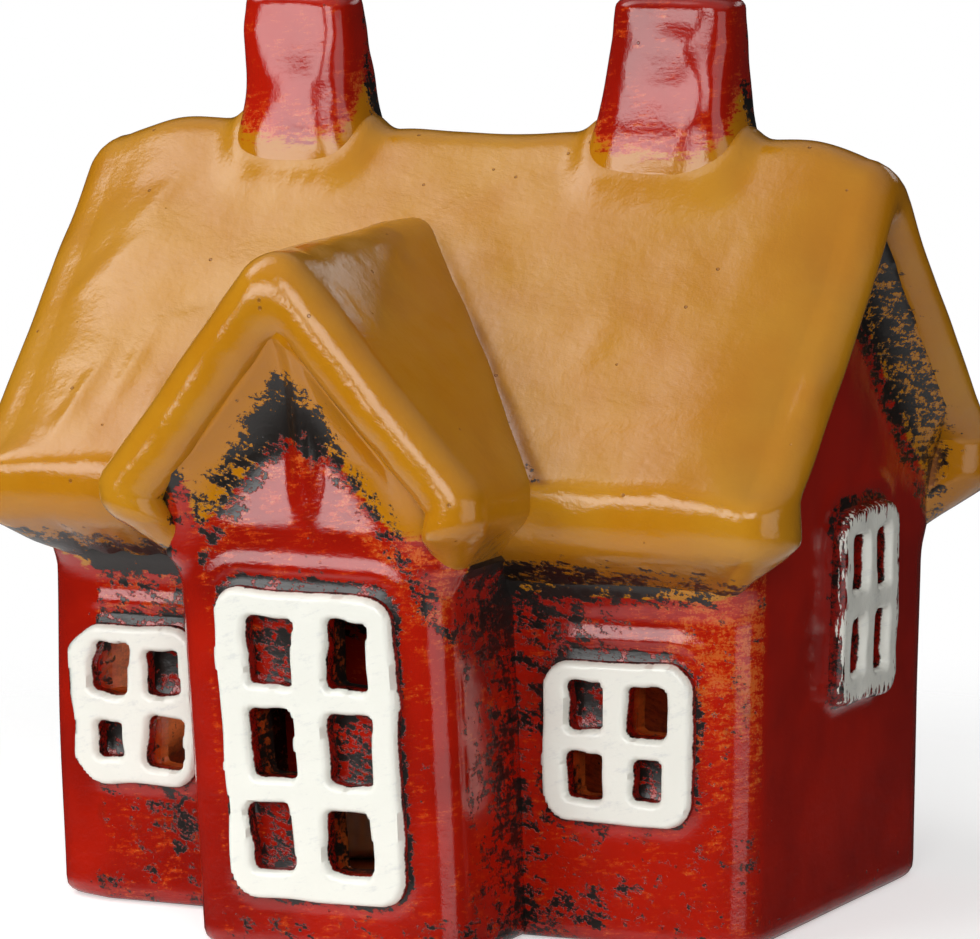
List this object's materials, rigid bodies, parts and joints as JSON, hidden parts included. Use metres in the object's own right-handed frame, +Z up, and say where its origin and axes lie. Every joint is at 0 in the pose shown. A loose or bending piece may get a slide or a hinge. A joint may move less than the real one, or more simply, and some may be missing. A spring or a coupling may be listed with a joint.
{
  "type": "ceramic candle house",
  "caption": "Slab-built glazed ceramic house with a cross-gabled porch, hollow chimneys, pierced window panes and a rear doorway that takes a tealight.",
  "frame": {"origin": "on the table, under the middle of the house's bounding box", "axes": "+Z up, X along the main ridge with +X to the right of someone facing the porch, -Y out of the porch front"},
  "size_m": [0.118, 0.1036, 0.1265],
  "materials": {
    "red_glaze": "glossy deep red glaze, worn orange at the edges, with dark rubbed-in stain",
    "ochre_glaze": "glossy ochre glaze over soft rolled clay",
    "white_glaze": "thick white glaze",
    "bare_clay": "unglazed terracotta",
    "cup_metal": "thin pressed sheet",
    "paraffin": "white paraffin wax",
    "tab_metal": "tin plate",
    "cotton": "waxed cotton braid"
  },
  "bodies": {
    "house": {"floor_slab": "bare_clay", "front_wall": "red_glaze", "right_gable_wall": "red_glaze", "rear_wall": "red_glaze", "left_gable_wall": "red_glaze", "porch_front_wall": "red_glaze", "porch_right_wall": "red_glaze", "porch_left_wall": "red_glaze", "porch_window_pad": "white_glaze", "front_left_window_pad": "white_glaze", "front_right_window_pad": "white_glaze", "right_gable_window_pad": "white_glaze", "left_gable_window_pad": "white_glaze", "main_roof_front": "ochre_glaze", "main_roof_rear": "ochre_glaze", "porch_roof_left": "ochre_glaze", "porch_roof_right": "ochre_glaze", "left_chimney": "red_glaze", "right_chimney": "red_glaze"},
    "tealight": {"tealight_cup": "cup_metal", "tealight_wax": "paraffin", "tealight_wick_tab": "tab_metal", "tealight_wick": "cotton"}
  },
  "joints": [
    {"name": "tealight_slide", "type": "slide", "parent": "house", "child": "tealight", "axis": [0, 1, 0], "range_m": [0, 0.075]}
  ]
}
